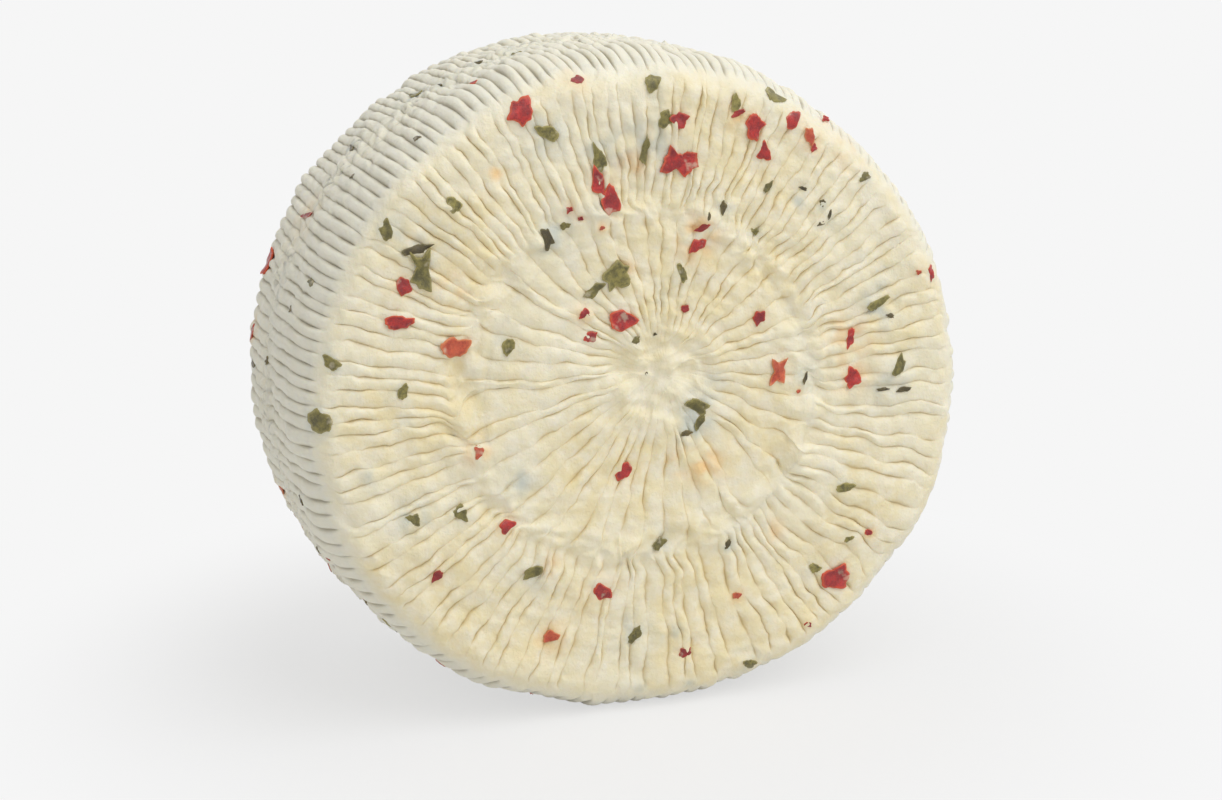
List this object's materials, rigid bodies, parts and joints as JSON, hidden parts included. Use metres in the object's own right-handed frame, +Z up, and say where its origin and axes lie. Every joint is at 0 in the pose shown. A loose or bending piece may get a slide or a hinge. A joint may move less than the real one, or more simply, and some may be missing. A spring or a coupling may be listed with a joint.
{
  "type": "fresh pecorino wheel",
  "caption": "Whole wheel of fresh pecorino standing on its rim, with basket-moulded ribs round the side, radial ridges on both faces and dried pepper and herb chips in the rind.",
  "frame": {"origin": "on the surface that the wheel stands on, under the middle of the wheel", "axes": "+Z up, the wheel's own axis along Y, the front face towards -Y and +X to the right seen from the front"},
  "size_m": [0.2, 0.0922, 0.1888],
  "materials": {
    "rind": "soft moist rind of fresh cheese, cream white",
    "red_pepper": "dried red pepper, leathery with a slight gloss",
    "orange_pepper": "paler dried pepper, leathery with a slight gloss",
    "green_herb": "dried green pepper and leaf, dull"
  },
  "bodies": {
    "root": {"wheel": "rind", "pepper_crown": "red_pepper", "pepper_lobed": "red_pepper", "pepper_high_left": "red_pepper", "pepper_over_hub": "red_pepper", "pepper_far_left": "red_pepper", "pepper_pale": "orange_pepper", "pepper_right": "orange_pepper", "pepper_low_right": "red_pepper", "pepper_high_right": "red_pepper", "herb_large": "green_herb", "herb_over_hub": "green_herb", "pepper_rim": "red_pepper"}
  },
  "joints": []
}
